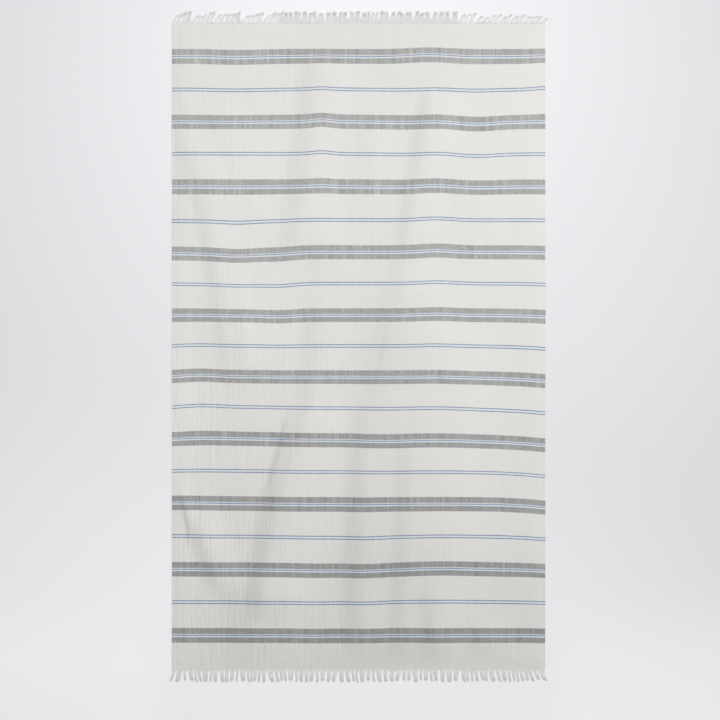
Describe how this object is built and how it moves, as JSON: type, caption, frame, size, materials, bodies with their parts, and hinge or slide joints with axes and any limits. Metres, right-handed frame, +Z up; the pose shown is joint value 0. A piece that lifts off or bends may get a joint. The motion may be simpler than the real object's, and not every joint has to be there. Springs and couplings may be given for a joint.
{
  "type": "fringed beach towel",
  "caption": "Flat-woven cotton beach towel laid out flat: a thin striped sheet with selvedges and a fringe of loose warp yarns at each end.",
  "frame": {"origin": "under the middle of the towel, on the surface that it lies on", "axes": "+X across the cloth from selvedge to selvedge, +Y along it from the near fringe to the far one, +Z up"},
  "size_m": [1.0121, 1.8, 0.0176],
  "materials": {
    "woven_cotton": "loose plain weave in off-white cotton, with grey weft bands and narrow blue weft lines, matt and slightly crinkled",
    "fringe_cotton": "off-white cotton warp yarns left loose beyond the last weft, matt"
  },
  "bodies": {
    "root": {"cloth": "woven_cotton", "fringe_far": "fringe_cotton", "fringe_near": "fringe_cotton"}
  },
  "joints": []
}
